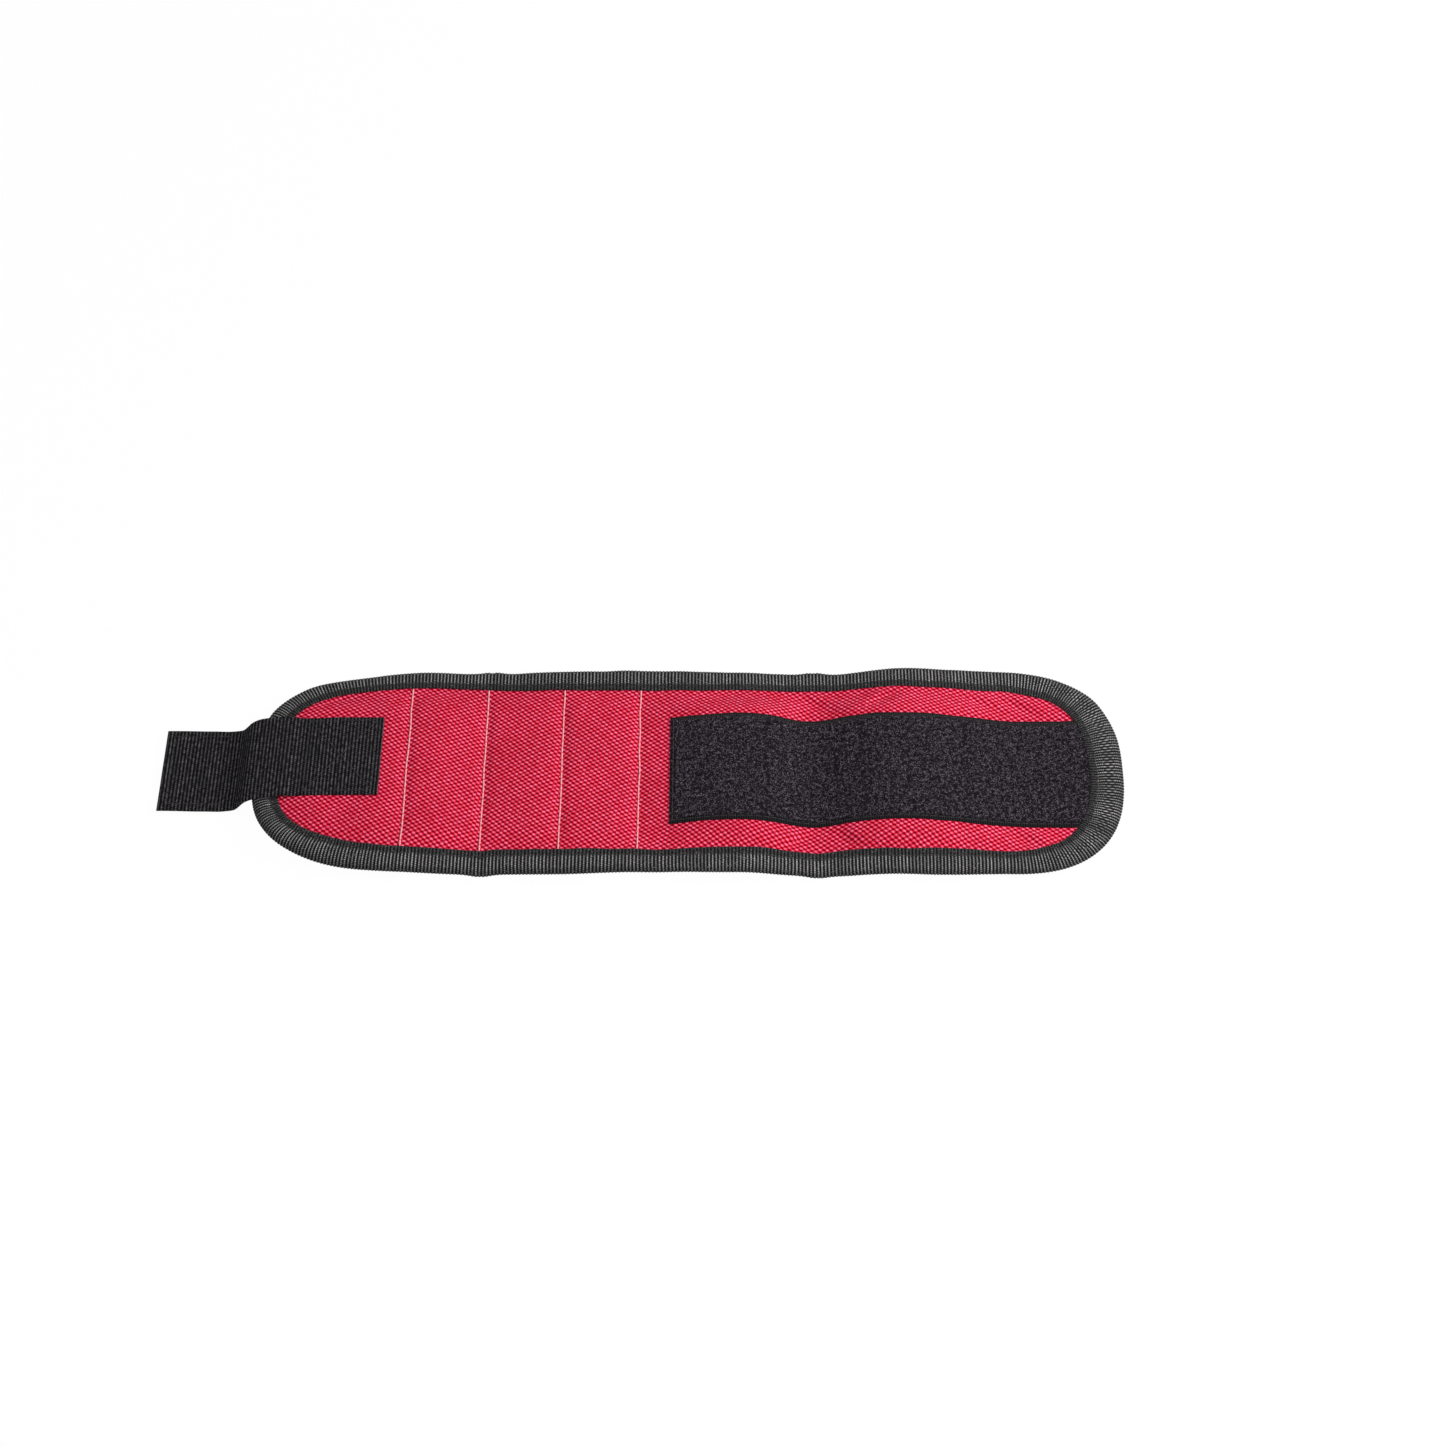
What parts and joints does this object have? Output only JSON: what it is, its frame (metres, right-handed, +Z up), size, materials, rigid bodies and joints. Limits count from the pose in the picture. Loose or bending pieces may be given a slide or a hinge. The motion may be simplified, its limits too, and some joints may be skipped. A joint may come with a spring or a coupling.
{
  "type": "wrist pin holder",
  "caption": "Magnetic wrist band for pins: padded fabric band with bound edges, stitched magnet pockets, a loop panel and a hook strap, shown open and flat.",
  "frame": {"origin": "centre of the open band's outline, on the surface it lies on", "axes": "+X along the band from the hook strap to the loop panel, +Z up out of the outer face"},
  "size_m": [0.365, 0.095, 0.0119],
  "materials": {
    "outer_fabric": "coarse crimson oxford weave, matt",
    "mesh_lining": "black padded spacer mesh",
    "binding": "black crosswise ribbed binding tape",
    "loop_panel": "black brushed loop pile",
    "strap_webbing": "black ribbed webbing",
    "hook_tape": "black moulded hooks on woven tape",
    "magnet": "nickel-plated disc"
  },
  "bodies": {
    "panel_05": {"binding_back_05": "binding", "binding_front_05": "binding", "magnet_right_back": "magnet", "magnet_right_front": "magnet", "magnet_right_middle": "magnet", "mesh_lining_05": "mesh_lining", "outer_fabric_05": "outer_fabric"},
    "panel_04": {"binding_back_04": "binding", "binding_front_04": "binding", "magnet_centre_back": "magnet", "magnet_centre_front": "magnet", "magnet_centre_middle": "magnet", "mesh_lining_04": "mesh_lining", "outer_fabric_04": "outer_fabric"},
    "panel_03": {"binding_back_03": "binding", "binding_front_03": "binding", "magnet_left_back": "magnet", "magnet_left_front": "magnet", "magnet_left_middle": "magnet", "mesh_lining_03": "mesh_lining", "outer_fabric_03": "outer_fabric"},
    "panel_02": {"binding_back_02": "binding", "binding_front_02": "binding", "mesh_lining_02": "mesh_lining", "outer_fabric_02": "outer_fabric", "strap_sewn_02": "strap_webbing"},
    "panel_01": {"binding_left_end": "binding", "mesh_lining_01": "mesh_lining", "outer_fabric_01": "outer_fabric", "strap_sewn_01": "strap_webbing"},
    "strap_bridge": {"strap_bridge": "strap_webbing"},
    "strap_tab": {"hook_tape": "hook_tape", "strap_tab": "strap_webbing"},
    "panel_06": {"binding_back_06": "binding", "binding_front_06": "binding", "loop_panel_06": "loop_panel", "mesh_lining_06": "mesh_lining", "outer_fabric_06": "outer_fabric"},
    "panel_07": {"binding_back_07": "binding", "binding_front_07": "binding", "loop_panel_07": "loop_panel", "mesh_lining_07": "mesh_lining", "outer_fabric_07": "outer_fabric"},
    "panel_08": {"binding_back_08": "binding", "binding_front_08": "binding", "loop_panel_08": "loop_panel", "mesh_lining_08": "mesh_lining", "outer_fabric_08": "outer_fabric"},
    "panel_09": {"binding_back_09": "binding", "binding_front_09": "binding", "loop_panel_09": "loop_panel", "mesh_lining_09": "mesh_lining", "outer_fabric_09": "outer_fabric"},
    "panel_10": {"binding_right_end": "binding", "loop_panel_10": "loop_panel", "mesh_lining_10": "mesh_lining", "outer_fabric_10": "outer_fabric"}
  },
  "joints": [
    {"name": "wrap", "type": "hinge", "parent": "panel_05", "child": "panel_04", "pos_m": [-0.03057, 0, 0.0052], "axis": [0, -1, 0], "range_deg": [0, 31.2]},
    {"name": "wrap_bend_03", "type": "hinge", "parent": "panel_04", "child": "panel_03", "pos_m": [-0.0599, 0, 0.0032], "axis": [0, -1, 0], "range_deg": [0, 46]},
    {"name": "wrap_bend_02", "type": "hinge", "parent": "panel_03", "child": "panel_02", "pos_m": [-0.08908, 0, 0.0068], "axis": [0, -1, 0], "range_deg": [0, 27.4]},
    {"name": "wrap_bend_01", "type": "hinge", "parent": "panel_02", "child": "panel_01", "pos_m": [-0.11823, 0, 0.0067], "axis": [0, -1, 0], "range_deg": [0, 31.5]},
    {"name": "wrap_bend_06", "type": "hinge", "parent": "panel_05", "child": "panel_06", "pos_m": [-0.00117, 0, 0.0048], "axis": [0, 1, 0], "range_deg": [0, 48.3]},
    {"name": "wrap_bend_07", "type": "hinge", "parent": "panel_06", "child": "panel_07", "pos_m": [0.03178, 0, 0.0096], "axis": [0, 1, 0], "range_deg": [0, 23.8]},
    {"name": "wrap_bend_08", "type": "hinge", "parent": "panel_07", "child": "panel_08", "pos_m": [0.06487, 0, 0.0032], "axis": [0, 1, 0], "range_deg": [0, 70]},
    {"name": "wrap_bend_09", "type": "hinge", "parent": "panel_08", "child": "panel_09", "pos_m": [0.10427, 0, 0.0101], "axis": [0, 1, 0], "range_deg": [0, 35.4]},
    {"name": "wrap_bend_10", "type": "hinge", "parent": "panel_09", "child": "panel_10", "pos_m": [0.1433, 0, 0.0034], "axis": [0, 1, 0], "range_deg": [0, 64.8]},
    {"name": "wrap_bend_strap", "type": "hinge", "parent": "panel_01", "child": "strap_bridge", "pos_m": [-0.14771, 0, 0.00648], "axis": [0, -1, 0], "range_deg": [0, 40.1]},
    {"name": "strap_peel", "type": "hinge", "parent": "strap_bridge", "child": "strap_tab", "pos_m": [-0.15526, 0, 0.0022], "axis": [0, 1, 0], "range_deg": [0, 100]}
  ],
  "couplings": [
    {"joint": "wrap_bend_03", "follows": "wrap", "ratio": 1.471},
    {"joint": "wrap_bend_02", "follows": "wrap", "ratio": 0.875},
    {"joint": "wrap_bend_01", "follows": "wrap", "ratio": 1.006},
    {"joint": "wrap_bend_06", "follows": "wrap", "ratio": 1.545},
    {"joint": "wrap_bend_07", "follows": "wrap", "ratio": 0.76},
    {"joint": "wrap_bend_08", "follows": "wrap", "ratio": 2.24},
    {"joint": "wrap_bend_09", "follows": "wrap", "ratio": 1.131},
    {"joint": "wrap_bend_10", "follows": "wrap", "ratio": 2.074},
    {"joint": "wrap_bend_strap", "follows": "wrap", "ratio": 1.282}
  ]
}
